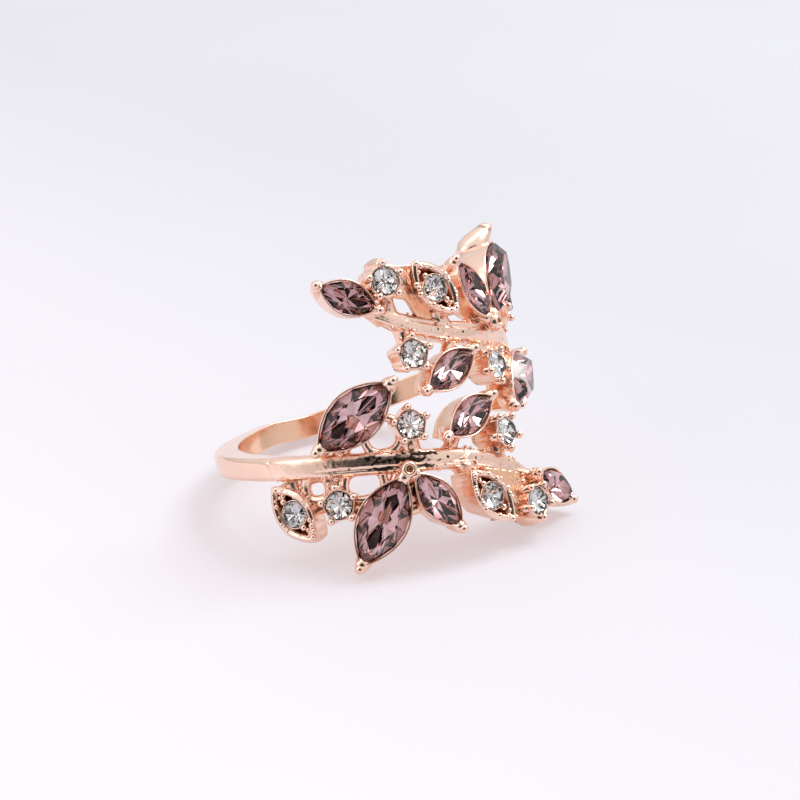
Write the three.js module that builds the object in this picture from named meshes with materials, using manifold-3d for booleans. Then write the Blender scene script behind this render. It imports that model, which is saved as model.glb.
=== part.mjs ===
// Spiral vine cocktail ring: an open band whose two ends pass each other across the front of the finger.
// Each end is a flowering vine with five leaf-shaped stones and six small round ones. One vine is described
// once, and the other is the same vine turned half a turn about the line through the middle of the front.
//
// The ring is drawn in its own frame, with the finger along Z and the flowered front towards -Y. "turn" is
// the angle round the finger in degrees, 0 at the middle of the front and growing towards +X, "height" is
// the distance along the finger, and "radius" the distance from the finger's axis. The whole ring is then
// leaned over into the position in which it lies on a table, standing on z = 0.
import * as THREE from "three";
import { mergeVertices } from "three/addons/utils/BufferGeometryUtils.js";
import Module from "manifold-3d";

const wasm = await Module();
wasm.setup();

// Driving dimensions, in millimetres and degrees.
const BORE_RADIUS = 8.65;
const BAND_DEPTH = 1.7;
const BAND_HEIGHT = 1.5;
const BAND_EDGE = 0.3;
const BAND_END_TURN = -75;
const BACK_TURN = -180;
const BACK_FLAT = 10;
const RISE_PER_DEGREE = 0.024;
const TIP_DROP = 2.4;
const TIP_DROP_START = -10;
const TIP_DROP_SPAN = 50;
const STEM_END_TURN = 25;
const STEM_WIDTH = 1.4;
const STEM_TIP_WIDTH = 1.0;
const STEM_FLARE = 1.1;
const STEM_FLARE_START = -5;
const STEM_FLARE_SPAN = 38;
const SECTION_STEP = 6;
const JOINT_GAP = 0.03;
const RIM_WALL = 0.2;
const RIM_TOP = 0.12;
const SEAT_GAP = 0.02;
const CUP_BASE_RADIUS = 8.95;
const CUP_DEEPEST = 2.5;
const GIRDLE = 0.08;
const GIRDLE_CORNERS = 16;
const CLAW_SIDES = 6;
const SMOOTHING = 0.02;
const NEIGHBOUR_REACH = 6;

// A cup's foot, as shares of its rim's length and width, outside and inside the wall.
const FOOT_OUTSIDE = [0.93, 0.8];
const FOOT_INSIDE = [0.85, 0.7];

// A stone's smaller rings of corners, as shares of its girdle, and how far down the pavilion's ring lies.
const TABLE_SHARE = 0.45;
const PAVILION_SHARE = 0.42;
const PAVILION_DROP = 0.55;
const CULET_SHARE = 0.04;

// Claws: the ball's radius, and how far its middle stands outside the stone's edge and above the girdle.
const LEAF_CLAW = { ball: 0.34, outside: 0.37 };
const ROUND_CLAW = { ball: 0.26, outside: 0.28, count: 5 };
const CLAW_RISE = 0.12;

// How the ring lies on a table: leaned back about X, then sideways about Y.
const LEAN_BACK = -25.91;
const LEAN_SIDE = 6.4;

// The stones' cuts: length, width, crown height, pavilion depth. A bud is a round stone in a leaf-shaped cup.
const LARGE_LEAF = { kind: "leaf", length: 6.0, width: 3.1, crown: 0.85, depth: 1.35 };
const SMALL_LEAF = { kind: "leaf", length: 4.2, width: 2.1, crown: 0.6, depth: 1.1 };
const TIP_LEAF = { kind: "leaf", length: 3.7, width: 2.0, crown: 0.6, depth: 1.05 };
const ROUND = { kind: "round", length: 1.7, width: 1.7, crown: 0.4, depth: 0.85 };
const BUD = { ...ROUND, kind: "bud" };
const BUD_CUP = { kind: "leaf", length: 3.9, width: 2.1 };

// One vine's eleven settings. "angle" is the leaf's direction, from the +turn direction towards +height, and
// "facing" is the turn that the stone looks along, where that isn't its own: the vine's tip springs outwards.
const SETTINGS = [
  { name: "tip_leaf", cut: TIP_LEAF, turn: 33, facing: 21, height: -7.2, radius: 12.0, angle: 148 },
  { name: "small_outer_leaf", cut: SMALL_LEAF, turn: -17, height: -6.3, radius: 10.75, angle: 120 },
  { name: "large_outer_leaf", cut: LARGE_LEAF, turn: -37, height: -6.85, radius: 10.8, angle: 52 },
  { name: "small_inner_leaf", cut: SMALL_LEAF, turn: 2, height: -1.55, radius: 10.8, angle: 25 },
  { name: "large_inner_leaf", cut: LARGE_LEAF, turn: -39, height: -0.1, radius: 10.75, angle: 31 },
  { name: "tip_round", cut: ROUND, turn: 20.5, facing: 12, height: -7.8, radius: 11.8, angle: 20 },
  { name: "mid_bud", cut: BUD, turn: 2.5, height: -6.8, radius: 11.2, angle: 126 },
  { name: "inner_round", cut: ROUND, turn: 15.5, height: -3.0, radius: 11.2, angle: 50 },
  { name: "crown_round", cut: ROUND, turn: -21, height: -1.3, radius: 10.85, angle: 90 },
  { name: "outer_round", cut: ROUND, turn: -50.5, height: -5.3, radius: 10.8, angle: 90 },
  { name: "root_bud", cut: BUD, turn: -67.5, height: -5.3, radius: 10.8, angle: 121 },
];

// Short twigs that carry a setting from the stem: where each leaves the stem, and the setting that it meets.
const TWIGS = [
  { from: -72, to: "root_bud" },
  { from: -51, to: "outer_round" },
  { from: -50, to: "large_inner_leaf" },
  { from: -25, to: "large_outer_leaf" },
  { from: -24, to: "small_outer_leaf" },
  { from: -21, to: "crown_round" },
  { from: -8, to: "small_inner_leaf" },
  { from: -2, to: "mid_bud" },
  { from: 15, to: "inner_round" },
  { from: 22, to: "tip_leaf" },
  { from: 19, to: "tip_round" },
];
const TWIG_RADIUS = 0.36;
const TWIG_FOOT_RADIUS = 9.45;
const TWIG_HEAD_DEPTH = 1.3;
const NODE_BEAD = { turn: -25, height: -4.0, radius: 10.45, size: 0.5 };

// The three directions at one turn of the ring: round the finger, along it, and outwards.
function directions(turn) {
  const a = THREE.MathUtils.degToRad(turn);
  return {
    round: new THREE.Vector3(Math.cos(a), Math.sin(a), 0),
    along: new THREE.Vector3(0, 0, 1),
    out: new THREE.Vector3(Math.sin(a), -Math.cos(a), 0),
  };
}

function onRing(turn, height, radius) {
  return directions(turn).out.multiplyScalar(radius).setZ(height);
}

// The height of the lower half of the spiral, from the flat stretch at the back to the vine's tip.
function spiralHeight(turn) {
  const climb = RISE_PER_DEGREE * Math.max(0, turn - BACK_TURN - BACK_FLAT);
  const drop = TIP_DROP * Math.max(0, (turn - TIP_DROP_START) / TIP_DROP_SPAN) ** 2;
  return -climb - drop;
}

// The band's height over both halves: the upper half is the lower one turned half a turn.
function bandHeight(turn) {
  return turn >= BACK_TURN ? spiralHeight(turn) : -spiralHeight(2 * BACK_TURN - turn);
}

function stemFlare(turn) {
  return STEM_FLARE * Math.max(0, (turn - STEM_FLARE_START) / STEM_FLARE_SPAN) ** 2;
}

// A closed body through rings of points, each ring with the same number of points. Open ends get flat caps.
function loft(rings, loop = false) {
  const count = rings[0].length;
  const points = rings.flat();
  const faces = [];
  const bands = loop ? rings.length : rings.length - 1;
  for (let r = 0; r < bands; r += 1) {
    const next = (r + 1) % rings.length;
    for (let k = 0; k < count; k += 1) {
      const a = r * count + k;
      const b = r * count + ((k + 1) % count);
      const c = next * count + k;
      const d = next * count + ((k + 1) % count);
      faces.push(a, b, d, a, d, c);
    }
  }
  if (!loop) {
    const last = (rings.length - 1) * count;
    for (let k = 1; k < count - 1; k += 1) {
      faces.push(0, k + 1, k);
      faces.push(last, last + k, last + k + 1);
    }
  }
  const geometry = new THREE.BufferGeometry().setFromPoints(points);
  geometry.setIndex(faces);
  return geometry;
}

// Three.js geometry to a solid, and back again.
function solid(geometry) {
  const bare = geometry.clone();
  bare.deleteAttribute("normal");
  bare.deleteAttribute("uv");
  const merged = mergeVertices(bare, 1e-4);
  const mesh = new wasm.Mesh({
    numProp: 3,
    vertProperties: merged.attributes.position.array,
    triVerts: new Uint32Array(merged.index.array),
  });
  const body = new wasm.Manifold(mesh);
  if (body.volume() >= 0) {
    return body;
  }
  merged.setIndex(Array.from(merged.index.array).reverse());
  return solid(merged);
}

function geometryOf(body) {
  const mesh = body.getMesh();
  const geometry = new THREE.BufferGeometry();
  geometry.setAttribute("position", new THREE.BufferAttribute(mesh.vertProperties, 3));
  geometry.setIndex(new THREE.BufferAttribute(mesh.triVerts, 1));
  return geometry;
}

// The band: flat inside, flat sides, a softened outer edge.
function bandSection(turn) {
  const half = BAND_HEIGHT / 2;
  const outer = BORE_RADIUS + BAND_DEPTH;
  const corners = [
    [BORE_RADIUS, -half + 0.08],
    [BORE_RADIUS + 0.08, -half],
    [outer - BAND_EDGE, -half],
    [outer, -half + BAND_EDGE],
    [outer, half - BAND_EDGE],
    [outer - BAND_EDGE, half],
    [BORE_RADIUS + 0.08, half],
    [BORE_RADIUS, half - 0.08],
  ];
  return corners.map(([radius, side]) => onRing(turn, bandHeight(turn) + side, radius));
}

function turns(from, to) {
  const steps = Math.round((to - from) / SECTION_STEP);
  return Array.from({ length: steps + 1 }, (_, k) => from + ((to - from) * k) / steps);
}

function band() {
  return loft(turns(2 * BACK_TURN - BAND_END_TURN, BAND_END_TURN).map(bandSection));
}

// The vine's stem: a ridged section, as wide as the band at its root and narrowing to the tip.
function stemSection(turn) {
  const share = (turn - BAND_END_TURN) / (STEM_END_TURN - BAND_END_TURN);
  const half = THREE.MathUtils.lerp(STEM_WIDTH, STEM_TIP_WIDTH, share) / 2;
  const inner = BORE_RADIUS + 0.05 + stemFlare(turn);
  const outer = BORE_RADIUS + BAND_DEPTH + stemFlare(turn);
  const corners = [
    [inner, -half * 0.7],
    [inner + 0.5, -half],
    [outer - 0.35, -half],
    [outer, -half * 0.25],
    [outer, half * 0.25],
    [outer - 0.35, half],
    [inner + 0.5, half],
    [inner, half * 0.7],
  ];
  return corners.map(([radius, side]) => onRing(turn, spiralHeight(turn) + side, radius));
}

function stem() {
  const start = BAND_END_TURN + THREE.MathUtils.radToDeg(JOINT_GAP / BORE_RADIUS);
  return loft(turns(start, STEM_END_TURN).map(stemSection));
}

// A leaf outline of two arcs, or a circle, as corners round the z axis.
function outline(cut, grow = 0) {
  const pointed = cut.kind === "leaf";
  const a = cut.length / 2 + grow * (pointed ? 1.4 : 1);
  const b = cut.width / 2 + grow;
  const arc = (a * a + b * b) / (2 * b);
  return Array.from({ length: GIRDLE_CORNERS }, (_, k) => {
    const phase = (2 * Math.PI * k) / GIRDLE_CORNERS;
    const x = a * Math.cos(phase);
    if (!pointed) {
      return new THREE.Vector2(x, a * Math.sin(phase));
    }
    const y = Math.sqrt(Math.max(0, arc * arc - x * x)) - (arc - b);
    return new THREE.Vector2(x, Math.sign(Math.round(1e6 * Math.sin(phase))) * y);
  });
}

function ringAt(points, z, lengthShare = 1, widthShare = lengthShare) {
  return points.map((p) => new THREE.Vector3(p.x * lengthShare, p.y * widthShare, z));
}

// A cut stone: a table, a crown and a girdle, over a pavilion that comes to a small flat culet.
function stone(cut) {
  const girdle = outline(cut);
  return loft([
    ringAt(girdle, -cut.depth, CULET_SHARE),
    flattened(ringAt(girdle, -GIRDLE - cut.depth * PAVILION_DROP, PAVILION_SHARE)),
    ringAt(girdle, -GIRDLE),
    ringAt(girdle, 0),
    flattened(ringAt(girdle, cut.crown, TABLE_SHARE)),
  ]);
}

// A ring of corners with every second one moved onto the line between its neighbours, for broader facets.
function flattened(ring) {
  return ring.map((p, k) => {
    const next = ring[(k + 1) % ring.length];
    return k % 2 ? ring[k - 1].clone().lerp(next, 0.5) : p;
  });
}

function cupDepth(spec) {
  return Math.min(CUP_DEEPEST, spec.radius - CUP_BASE_RADIUS);
}

// The cup's wall, open at the back. A filled one, a little larger, is what its neighbours are cut by.
function cupWall(cut, depth, grow = 0, filled = false) {
  const outer = outline(cut, RIM_WALL + grow);
  const outside = [ringAt(outer, -depth - grow, ...FOOT_OUTSIDE), ringAt(outer, RIM_TOP + grow)];
  if (filled) {
    return solid(loft(outside));
  }
  const inner = outline(cut, SEAT_GAP);
  const inside = [
    ringAt(inner, RIM_TOP),
    ringAt(inner, -GIRDLE - SEAT_GAP),
    ringAt(inner, -depth, ...FOOT_INSIDE),
  ];
  return solid(loft([...outside, ...inside], true));
}

// A tapering post from its foot to a ball at its head.
function post(foot, head, ball) {
  const length = foot.distanceTo(head);
  const neck = ball * 0.72;
  const profile = [
    new THREE.Vector2(0, 0),
    new THREE.Vector2(neck * 0.8, 0),
    new THREE.Vector2(neck, length - ball),
  ];
  for (const angle of [-20, 40]) {
    const a = THREE.MathUtils.degToRad(angle);
    profile.push(new THREE.Vector2(ball * Math.cos(a), length + ball * Math.sin(a)));
  }
  profile.push(new THREE.Vector2(0, length + ball));
  const geometry = new THREE.LatheGeometry(profile, CLAW_SIDES);
  const up = new THREE.Vector3(0, 1, 0);
  const direction = head.clone().sub(foot).normalize();
  geometry.applyQuaternion(new THREE.Quaternion().setFromUnitVectors(up, direction));
  geometry.translate(foot.x, foot.y, foot.z);
  return solid(geometry);
}

// A setting's claws: two at a leaf's points, or five round a round stone. A bud has none.
function claws(spec, grow = 0) {
  const { kind, length } = spec.cut;
  const claw = kind === "leaf" ? LEAF_CLAW : ROUND_CLAW;
  const reach = length / 2 + claw.outside;
  const count = { leaf: 2, round: ROUND_CLAW.count, bud: 0 }[kind];
  const share = kind === "leaf" ? FOOT_OUTSIDE[0] : FOOT_OUTSIDE[1];
  const bottom = -0.95 * cupDepth(spec) - grow;
  return Array.from({ length: count }, (_, k) => {
    const a = (2 * Math.PI * k) / count;
    const x = reach * Math.cos(a);
    const y = reach * Math.sin(a);
    const foot = new THREE.Vector3(x * share, y * share, bottom);
    return post(foot, new THREE.Vector3(x, y, CLAW_RISE), claw.ball + grow);
  });
}

// A setting, cut clear of those listed before it that stand close.
function setting(spec) {
  const depth = cupDepth(spec);
  let body = cupWall(spec.cut, depth);
  if (spec.cut.kind === "bud") {
    body = body.add(cupWall(BUD_CUP, depth));
  }
  for (const one of claws(spec)) {
    body = body.add(one);
  }
  const back = place(spec).invert();
  for (const other of SETTINGS.slice(0, SETTINGS.indexOf(spec))) {
    const there = place(other);
    if (middle(other).distanceTo(middle(spec)) < NEIGHBOUR_REACH) {
      body = body.subtract(moved(envelope(other), back.clone().multiply(there)));
    }
  }
  return largest(body.simplify(SMOOTHING));
}

// The main body of a solid that a cut may have left in pieces.
function largest(body) {
  return body.decompose().reduce((a, b) => (a.volume() > b.volume() ? a : b));
}

// The space that a setting fills, with a small gap all round.
function envelope(spec) {
  const cut = spec.cut.kind === "bud" ? BUD_CUP : spec.cut;
  let body = cupWall(cut, cupDepth(spec), JOINT_GAP, true);
  for (const one of claws(spec, JOINT_GAP)) {
    body = body.add(one);
  }
  return body;
}

// The middle of a setting's girdle.
function middle(spec) {
  return onRing(spec.turn, spec.height, spec.radius);
}

// Carries a setting's own frame, with x along the leaf and z outwards, to its place on the ring.
function place(spec) {
  const { round, along, out } = directions(spec.facing ?? spec.turn);
  const a = THREE.MathUtils.degToRad(spec.angle);
  const x = round.clone().multiplyScalar(Math.cos(a)).addScaledVector(along, Math.sin(a));
  const y = out.clone().cross(x);
  const matrix = new THREE.Matrix4().makeBasis(x, y, out);
  return matrix.setPosition(middle(spec));
}

function moved(body, matrix) {
  return solid(geometryOf(body).applyMatrix4(matrix));
}

// A vine's stem with its twigs and the bead at its fork, cut clear of every setting.
function vine() {
  let body = solid(stem());
  for (const { from, to } of TWIGS) {
    const spec = SETTINGS.find((one) => one.name === to);
    const foot = onRing(from, spiralHeight(from), TWIG_FOOT_RADIUS + stemFlare(from));
    const head = onRing(spec.turn, spec.height, spec.radius - TWIG_HEAD_DEPTH);
    body = body.add(post(foot, head, TWIG_RADIUS));
  }
  const bead = new THREE.SphereGeometry(NODE_BEAD.size, 12, 8);
  const centre = onRing(NODE_BEAD.turn, NODE_BEAD.height, NODE_BEAD.radius);
  body = body.add(solid(bead.translate(centre.x, centre.y, centre.z)));
  for (const spec of SETTINGS) {
    body = body.subtract(moved(envelope(spec), place(spec)));
  }
  return largest(body.simplify(SMOOTHING));
}

const ROSE_GOLD = { color: 0xe8b49c, roughness: 0.18, metalness: 1 };
const MAUVE_GLASS = { color: 0x9c5f6c, roughness: 0.05, metalness: 0 };
const CLEAR_GLASS = { color: 0xd8d8dc, roughness: 0.05, metalness: 0 };

function mesh(name, geometry, look) {
  const made = new THREE.Mesh(geometry, new THREE.MeshStandardMaterial(look));
  made.name = name;
  return made;
}

// One vine as a group of meshes.
function vineGroup(side) {
  const group = new THREE.Group();
  group.add(mesh(`${side}_vine_stem`, geometryOf(vine()), ROSE_GOLD));
  for (const spec of SETTINGS) {
    const part = new THREE.Group();
    part.applyMatrix4(place(spec));
    const glass = spec.cut.kind === "leaf" ? MAUVE_GLASS : CLEAR_GLASS;
    part.add(mesh(`${side}_${spec.name}_setting`, geometryOf(setting(spec)), ROSE_GOLD));
    part.add(mesh(`${side}_${spec.name}_stone`, geometryOf(solid(stone(spec.cut))), glass));
    group.add(part);
  }
  return group;
}

const ring = new THREE.Group();
const lower = vineGroup("lower");
const upper = vineGroup("upper");
upper.rotation.y = Math.PI;
ring.add(mesh("shank", geometryOf(solid(band())), ROSE_GOLD), lower, upper);
ring.rotation.set(THREE.MathUtils.degToRad(LEAN_BACK), THREE.MathUtils.degToRad(LEAN_SIDE), 0);

const root = new THREE.Group();
root.add(ring);
root.updateMatrixWorld(true);
const box = new THREE.Box3().setFromObject(root, true);
ring.position.set(-(box.min.x + box.max.x) / 2, -(box.min.y + box.max.y) / 2, -box.min.z);

export default root;
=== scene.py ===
"""The looks of the spiral vine cocktail ring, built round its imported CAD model.

Shapes are made in millimetres in the ring's own frame: the finger lies along Z, the flowered front looks towards
-Y, "turn" is the angle round the finger in degrees, "height" the distance along it and "radius" the distance from
it. The upper vine is the lower one turned half a turn about Y. The last step leans each mesh over into the
row frame and scales it to metres.
"""
import math

import bpy
import numpy as np
from mathutils import Matrix, Vector, noise


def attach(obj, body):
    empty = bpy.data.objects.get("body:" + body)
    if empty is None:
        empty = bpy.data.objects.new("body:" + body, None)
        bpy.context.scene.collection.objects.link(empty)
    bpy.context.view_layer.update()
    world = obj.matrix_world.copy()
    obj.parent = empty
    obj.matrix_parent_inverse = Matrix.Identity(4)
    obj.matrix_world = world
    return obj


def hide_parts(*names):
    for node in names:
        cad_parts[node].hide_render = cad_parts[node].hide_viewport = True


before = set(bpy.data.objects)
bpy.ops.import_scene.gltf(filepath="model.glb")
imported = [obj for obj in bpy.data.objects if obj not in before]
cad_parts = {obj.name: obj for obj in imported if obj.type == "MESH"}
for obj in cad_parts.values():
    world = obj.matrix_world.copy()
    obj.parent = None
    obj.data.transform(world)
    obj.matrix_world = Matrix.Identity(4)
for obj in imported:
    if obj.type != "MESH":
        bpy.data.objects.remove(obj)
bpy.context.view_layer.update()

# ---------------------------------------------------------------- dimensions that the CAD part has too
BORE_RADIUS = 8.65
BAND_OUTER = 10.35
SECTION_MIDDLE = (BORE_RADIUS + BAND_OUTER) / 2
BAND_HEIGHT = 1.5
BAND_END_TURN = -75
BACK_TURN = -180
BACK_FLAT = 10
RISE_PER_DEGREE = 0.024
TIP_DROP, TIP_DROP_START, TIP_DROP_SPAN = 2.4, -10, 50
STEM_END_TURN = 25
STEM_FLARE, STEM_FLARE_START, STEM_FLARE_SPAN = 1.1, -5, 38
CUP_BASE_RADIUS = 8.95
CUP_DEEPEST = 2.5
GIRDLE = 0.08

LEAN_BACK = math.radians(-25.91)
LEAN_SIDE = math.radians(6.4)
RING_CENTRE = (0.0, 2.4269, 5.1718)

LARGE = dict(kind="leaf", length=6.0, width=3.1, crown=0.85)
SMALL = dict(kind="leaf", length=4.2, width=2.1, crown=0.6)
TIP = dict(kind="leaf", length=3.7, width=2.0, crown=0.6)
ROUND = dict(kind="round", length=1.7, width=1.7, crown=0.4)
BUD = dict(ROUND, kind="bud")
BUD_CUP = dict(kind="leaf", length=3.9, width=2.1)

# name, cut, turn, facing, height, radius, direction of the leaf
SETTINGS = [
    ("tip_leaf", TIP, 33, 21, -7.2, 12.0, 148),
    ("small_outer_leaf", SMALL, -17, -17, -6.3, 10.75, 120),
    ("large_outer_leaf", LARGE, -37, -37, -6.85, 10.8, 52),
    ("small_inner_leaf", SMALL, 2, 2, -1.55, 10.8, 25),
    ("large_inner_leaf", LARGE, -39, -39, -0.1, 10.75, 31),
    ("tip_round", ROUND, 20.5, 12, -7.8, 11.8, 20),
    ("mid_bud", BUD, 2.5, 2.5, -6.8, 11.2, 126),
    ("inner_round", ROUND, 15.5, 15.5, -3.0, 11.2, 50),
    ("crown_round", ROUND, -21, -21, -1.3, 10.85, 90),
    ("outer_round", ROUND, -50.5, -50.5, -5.3, 10.8, 90),
    ("root_bud", BUD, -67.5, -67.5, -5.3, 10.8, 121),
]
# Where each setting stands: turn, height and radius.
HOMES = {name: (turn, height, radius) for name, _, turn, _, height, radius, _ in SETTINGS}

# ---------------------------------------------------------------- details that the visual model adds or refines
# Where each short branch leaves the stem, the setting it runs to and how thick it is.
TWIGS = [
    (-71, "root_bud", 0.5),
    (-51, "outer_round", 0.38),
    (-50, "large_inner_leaf", 0.5),
    (-25, "large_outer_leaf", 0.5),
    (-24, "small_outer_leaf", 0.5),
    (-21, "crown_round", 0.62),
    (-8, "small_inner_leaf", 0.46),
    (-2, "mid_bud", 0.7),
    (15, "inner_round", 0.6),
    (22, "tip_leaf", 0.5),
    (19, "tip_round", 0.5),
]
# Short bridges of metal from one setting to its neighbour, and how thick each is.
WEBS = [
    ("root_bud", "outer_round", 0.34),
    ("outer_round", "large_outer_leaf", 0.34),
    ("large_outer_leaf", "small_outer_leaf", 0.4),
    ("small_inner_leaf", "inner_round", 0.3),
    ("mid_bud", "tip_round", 0.5),
    ("tip_round", "tip_leaf", 0.45),
]
# How far a leaf's outline is drawn in towards its points, as a share of its width there.
LEAF_SHARPNESS = 0.18
# As shares of a stone's width: how deep the foil under its girdle goes, and how far the foil's fan is folded.
FOIL_DEPTH = 0.25
FOIL_FOLD = {"leaf": 0.125, "round": 0.09, "bud": 0.09}
# Rounded openings between the stem and the settings: turn, height, radius, half width, half height, edge thickness.
OPENINGS = [
    (-31.0, -1.58, 9.8, 1.12, 1.10, 0.30),
    (-41.0, -4.38, 9.75, 1.26, 0.93, 0.31),
    (-58.8, -4.04, 9.75, 0.84, 0.74, 0.38),
]
FORK_BEAD = dict(turn=-25, height=-4.0, radius=10.85, size=0.58)
# The bead's profile with a crater in its outer side: radius and height as shares of its size, and how much painted
# shade lies there.
CRATER = [
    (0.0, -1.0, 0.0), (0.6, -0.8, 0.0), (0.95, -0.3, 0.0), (1.0, 0.0, 0.0), (0.95, 0.35, 0.0), (0.8, 0.66, 0.0),
    (0.6, 0.8, 0.1), (0.42, 0.74, 0.6), (0.34, 0.55, 1.0), (0.2, 0.47, 1.0), (0.0, 0.45, 1.0),
]
# The turns between which dark bark covers a stem. The upper one's lie past its tip, so it has specks only.
BARK = {"lower": (-38, -14), "upper": (60, 70)}
# The wall near each vine's tip: the gap that it leaves beside the stem, how high its ribs are, how much orange painted
# reflection it takes.
WALLS = {"lower": dict(gap=0.0, ribs=0.06, painted_warmth=0.4), "upper": dict(gap=1.0, ribs=0.025, painted_warmth=0.06)}

# ---------------------------------------------------------------- from the ring's own frame to the row's
UP = np.array([0.0, 0.0, 1.0])
LEANED = (
    Matrix.Translation(RING_CENTRE)
    @ Matrix.Rotation(LEAN_BACK, 4, "X")
    @ Matrix.Rotation(LEAN_SIDE, 4, "Y")
)
SIDES = {"lower": LEANED, "upper": LEANED @ Matrix.Rotation(math.pi, 4, "Y")}


# ---------------------------------------------------------------- the ring's own frame
def directions(turn):
    """The unit vectors round the ring and away from it at a turn."""
    a = math.radians(turn)
    around = np.array([math.cos(a), math.sin(a), 0.0])
    out = np.array([math.sin(a), -math.cos(a), 0.0])
    return around, out


def on_ring(turn, height, radius):
    """A point in the ring's own frame."""
    point = directions(turn)[1] * radius
    point[2] = height
    return point


def spiral_height(turn):
    """The height of the band's or the lower stem's middle line."""
    climb = RISE_PER_DEGREE * max(0.0, turn - BACK_TURN - BACK_FLAT)
    drop = TIP_DROP * max(0.0, (turn - TIP_DROP_START) / TIP_DROP_SPAN) ** 2
    return -climb - drop


def band_height(turn):
    """The same all the way round: past the back the band climbs as the lower half's mirror image."""
    return spiral_height(turn) if turn >= BACK_TURN else -spiral_height(2 * BACK_TURN - turn)


def stem_flare(turn):
    """How far the stem leans away from the finger towards its tip."""
    return STEM_FLARE * max(0.0, (turn - STEM_FLARE_START) / STEM_FLARE_SPAN) ** 2


def cup_depth(radius):
    """How deep a cup goes before it would touch the finger."""
    return min(CUP_DEEPEST, radius - CUP_BASE_RADIUS)


def mix(a, b, share):
    """The value that lies a share of the way from a to b."""
    return a + (b - a) * share


def step(low, high, value):
    """A smooth rise from 0 at low to 1 at high."""
    share = np.clip((value - low) / (high - low), 0.0, 1.0)
    return share * share * (3 - 2 * share)


# ---------------------------------------------------------------- mesh helpers
class Shape:
    """Points and faces of one or more closed shells, in millimetres. deep: the gold's painted reflection and shade."""

    def __init__(self, points=(), faces=(), deep=0.0):
        self.points = np.array(points, float).reshape(-1, 3)
        self.faces = [tuple(f) for f in faces]
        self.deep = np.broadcast_to(np.asarray(deep, float), len(self.points)).copy()

    def add(self, other):
        """Takes in another shape's shells, and returns itself."""
        start = len(self.points)
        self.points = np.vstack([self.points, other.points])
        self.deep = np.concatenate([self.deep, other.deep])
        self.faces += [tuple(start + i for i in f) for f in other.faces]
        return self

    def moved(self, matrix):
        """A copy, carried over by a matrix."""
        m = np.array(matrix)
        return Shape(self.points @ m[:3, :3].T + m[:3, 3], self.faces, self.deep)


def loft(rings, loop=False):
    """A closed shell through rings of points. Open ends are closed with a flat face."""
    rings = [np.asarray(r, float) for r in rings]
    count = len(rings[0])
    faces = []
    for r in range(len(rings) if loop else len(rings) - 1):
        here, there = r * count, ((r + 1) % len(rings)) * count
        for k in range(count):
            n = (k + 1) % count
            faces.append((here + k, here + n, there + n, there + k))
    if not loop:
        faces.append(tuple(range(count - 1, -1, -1)))
        last = (len(rings) - 1) * count
        faces.append(tuple(last + k for k in range(count)))
    return Shape(np.vstack(rings), faces)


def lathe(profile, sides=24):
    """A shell turned about Z from (radius, z) pairs, pointed at both ends."""
    angles = np.linspace(0, 2 * math.pi, sides, endpoint=False)
    rings = []
    for radius, z in profile:
        r = max(radius, 1e-3)
        rings.append(np.column_stack([r * np.cos(angles), r * np.sin(angles), np.full(sides, z)]))
    return loft(rings)


def ball(centre, radius, sides=20, squash=1.0):
    """A small sphere, flattened along Z by squash."""
    a = np.linspace(-math.pi / 2, math.pi / 2, sides // 2 + 1)
    shape = lathe([(radius * math.cos(t), radius * squash * math.sin(t)) for t in a], sides)
    shape.points += np.asarray(centre, float)
    return shape


def post(foot, head, radii, sides=20):
    """A smooth post from foot to head. radii are (share of the length, radius) pairs."""
    foot, head = np.asarray(foot, float), np.asarray(head, float)
    length = float(np.linalg.norm(head - foot))
    turn = Vector(head - foot).to_track_quat("Z", "Y").to_matrix().to_4x4()
    shape = lathe([(r, s * length) for s, r in radii], sides)
    return shape.moved(Matrix.Translation(foot) @ turn)


def mesh_of(shape, name="shape"):
    """A Blender mesh with a shape's points and faces."""
    mesh = bpy.data.meshes.new(name)
    mesh.from_pydata(shape.points.tolist(), [], shape.faces)
    mesh.update()
    return mesh


def fused(shape, voxel, smooth):
    """The shells of a shape melted into one skin with filleted joints."""
    mesh = mesh_of(shape)
    temp = bpy.data.objects.new("temp", mesh)
    bpy.context.scene.collection.objects.link(temp)
    remesh = temp.modifiers.new("remesh", "REMESH")
    remesh.mode = "VOXEL"
    remesh.voxel_size = voxel
    remesh.adaptivity = 0.0
    relax = temp.modifiers.new("relax", "SMOOTH")
    relax.factor = 0.5
    relax.iterations = smooth
    baked = temp.evaluated_get(bpy.context.evaluated_depsgraph_get()).to_mesh()
    points = np.empty(len(baked.vertices) * 3)
    baked.vertices.foreach_get("co", points)
    faces = [tuple(p.vertices) for p in baked.polygons]
    made = Shape(points.reshape(-1, 3), faces)
    temp.to_mesh_clear()
    bpy.data.objects.remove(temp)
    bpy.data.meshes.remove(mesh)
    return made


def piece(name, shape, matrix, material, nodes, smooth=True, attributes=None, slots=None):
    """Puts a shape into the row frame as one object that stands for its CAD nodes."""
    placed = shape.moved(matrix)
    placed.points *= 0.001
    mesh = mesh_of(placed, name)
    mesh.polygons.foreach_set("use_smooth", [smooth] * len(mesh.polygons))
    for key, values in (attributes or {}).items():
        layer = mesh.attributes.new(key, "FLOAT", "POINT")
        layer.data.foreach_set("value", np.asarray(values, np.float32))
    for one in material if isinstance(material, list) else [material]:
        mesh.materials.append(one)
    if slots is not None:
        mesh.polygons.foreach_set("material_index", slots)
    made = bpy.data.objects.new(name, mesh)
    bpy.context.scene.collection.objects.link(made)
    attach(made, "root")
    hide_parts(*nodes)
    return made


# ---------------------------------------------------------------- materials
def new_material(name):
    """A new material with its node tree and its shader."""
    material = bpy.data.materials.new(name)
    material.use_nodes = True
    tree = material.node_tree
    return material, tree, tree.nodes["Principled BSDF"]


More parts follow.
